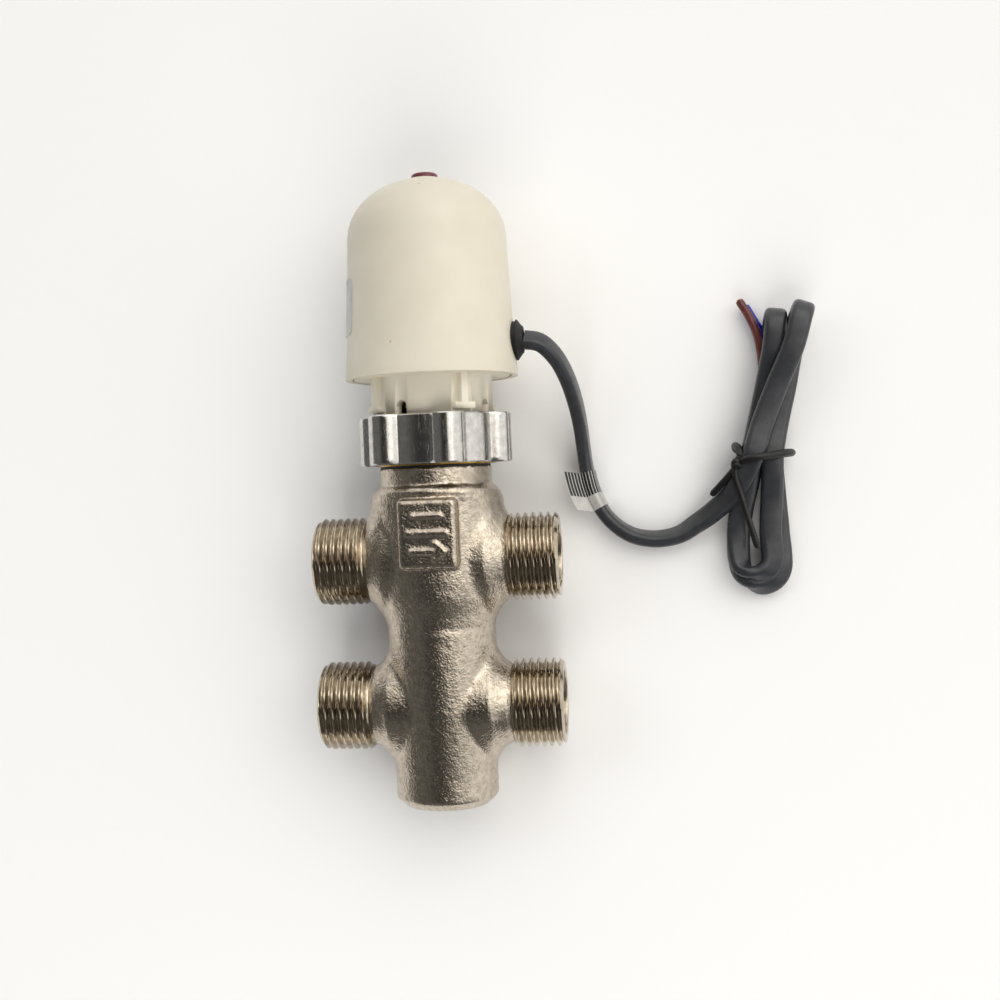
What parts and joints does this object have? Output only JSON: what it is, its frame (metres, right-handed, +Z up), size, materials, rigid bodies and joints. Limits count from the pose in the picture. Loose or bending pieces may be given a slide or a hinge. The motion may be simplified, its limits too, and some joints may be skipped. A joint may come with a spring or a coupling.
{
  "type": "zone valve",
  "caption": "Fan coil zone valve lying on its back: nickel-plated body with male threaded ports, domed electro-thermal actuator on a lobed ring nut, and a tied flat cable.",
  "frame": {"origin": "on the surface the valve lies on, under the middle of the valve without its cable", "axes": "+Y along the valve from its foot to the actuator's dome, leaning up by 5 degrees; +Z up, towards the valve's front; +X towards the cable's exit"},
  "size_m": [0.1226, 0.152, 0.0428],
  "materials": {
    "nickel_brass": "satin nickel on sand-textured forged brass",
    "brass": "turned brass",
    "seal_rubber": "moulded EPDM",
    "spring_steel": "drawn spring wire",
    "stainless": "turned stainless steel",
    "zinc_steel": "zinc-plated pressed steel",
    "aluminium": "turned and milled aluminium, scuffed",
    "cap_plastic": "moulded cream ABS, fine satin",
    "base_plastic": "moulded cream polyamide",
    "indicator_plastic": "moulded maroon plastic",
    "insulation": "pressed insulating board",
    "contact_bronze": "stamped contact bronze",
    "heater_ceramic": "sintered PTC ceramic",
    "grommet_rubber": "moulded black elastomer",
    "cable_jacket": "extruded grey PVC",
    "brown_insulation": "extruded brown PVC",
    "blue_insulation": "extruded blue PVC",
    "tie_plastic": "plastic-coated tie wire",
    "label_film": "printed film, satin"
  },
  "bodies": {
    "valve": {"valve_body": "nickel_brass", "seat_cage": "brass", "cage_seal": "seal_rubber", "headwork": "brass", "headwork_seal": "seal_rubber", "spring_seat": "stainless", "stem_spring": "spring_steel", "gland_nut": "brass", "stem_seals": "seal_rubber"},
    "stem_assembly": {"stem": "stainless", "upper_disc": "seal_rubber", "lower_disc": "seal_rubber", "spring_collar": "stainless", "stem_clips": "spring_steel"},
    "nut": {"ring_nut": "aluminium"},
    "actuator": {"snap_ring": "spring_steel", "actuator_base": "base_plastic", "actuator_cap": "cap_plastic", "type_label": "label_film", "support_bar": "zinc_steel", "bar_screws": "zinc_steel", "heater_insulator": "insulation", "lower_contact": "contact_bronze", "ptc_heater": "heater_ceramic", "upper_contact": "contact_bronze", "wax_element": "brass", "return_spring": "spring_steel", "spring_retainer": "zinc_steel", "lead_brown": "brown_insulation", "lead_blue": "blue_insulation", "cable_grommet": "grommet_rubber", "cable": "cable_jacket", "cable_hank": "cable_jacket", "core_brown": "brown_insulation", "core_blue": "blue_insulation", "cable_tie": "tie_plastic", "cable_flag": "label_film"},
    "plunger": {"spring_cup": "zinc_steel", "pressure_pin": "stainless", "cup_lid": "zinc_steel", "indicator_pin": "indicator_plastic", "wax_piston": "stainless"}
  },
  "joints": [
    {"name": "actuator_lift", "type": "slide", "parent": "valve", "child": "actuator", "axis": [0, 0.9963, 0.0854], "range_m": [0, 0.006]},
    {"name": "ring_nut_turn", "type": "hinge", "parent": "actuator", "child": "nut", "pos_m": [0, 0.01201, 0.01951], "axis": [0, 0.9963, 0.0854], "range_deg": [0, 1440]},
    {"name": "plunger_lift", "type": "slide", "parent": "actuator", "child": "plunger", "axis": [0, 0.9963, 0.0854], "range_m": [0, 0.0035], "stiffness_N_per_m": 2000, "springref_m": -0.01, "deforming": ["return_spring"]},
    {"name": "stem_lift", "type": "slide", "parent": "valve", "child": "stem_assembly", "axis": [0, 0.9963, 0.0854], "range_m": [0, 0.0035], "deforming": ["stem_spring"]}
  ],
  "couplings": [
    {"joint": "ring_nut_turn", "follows": "actuator_lift", "rad_per_m": 4188.8},
    {"joint": "stem_lift", "follows": "plunger_lift", "ratio": 1}
  ]
}
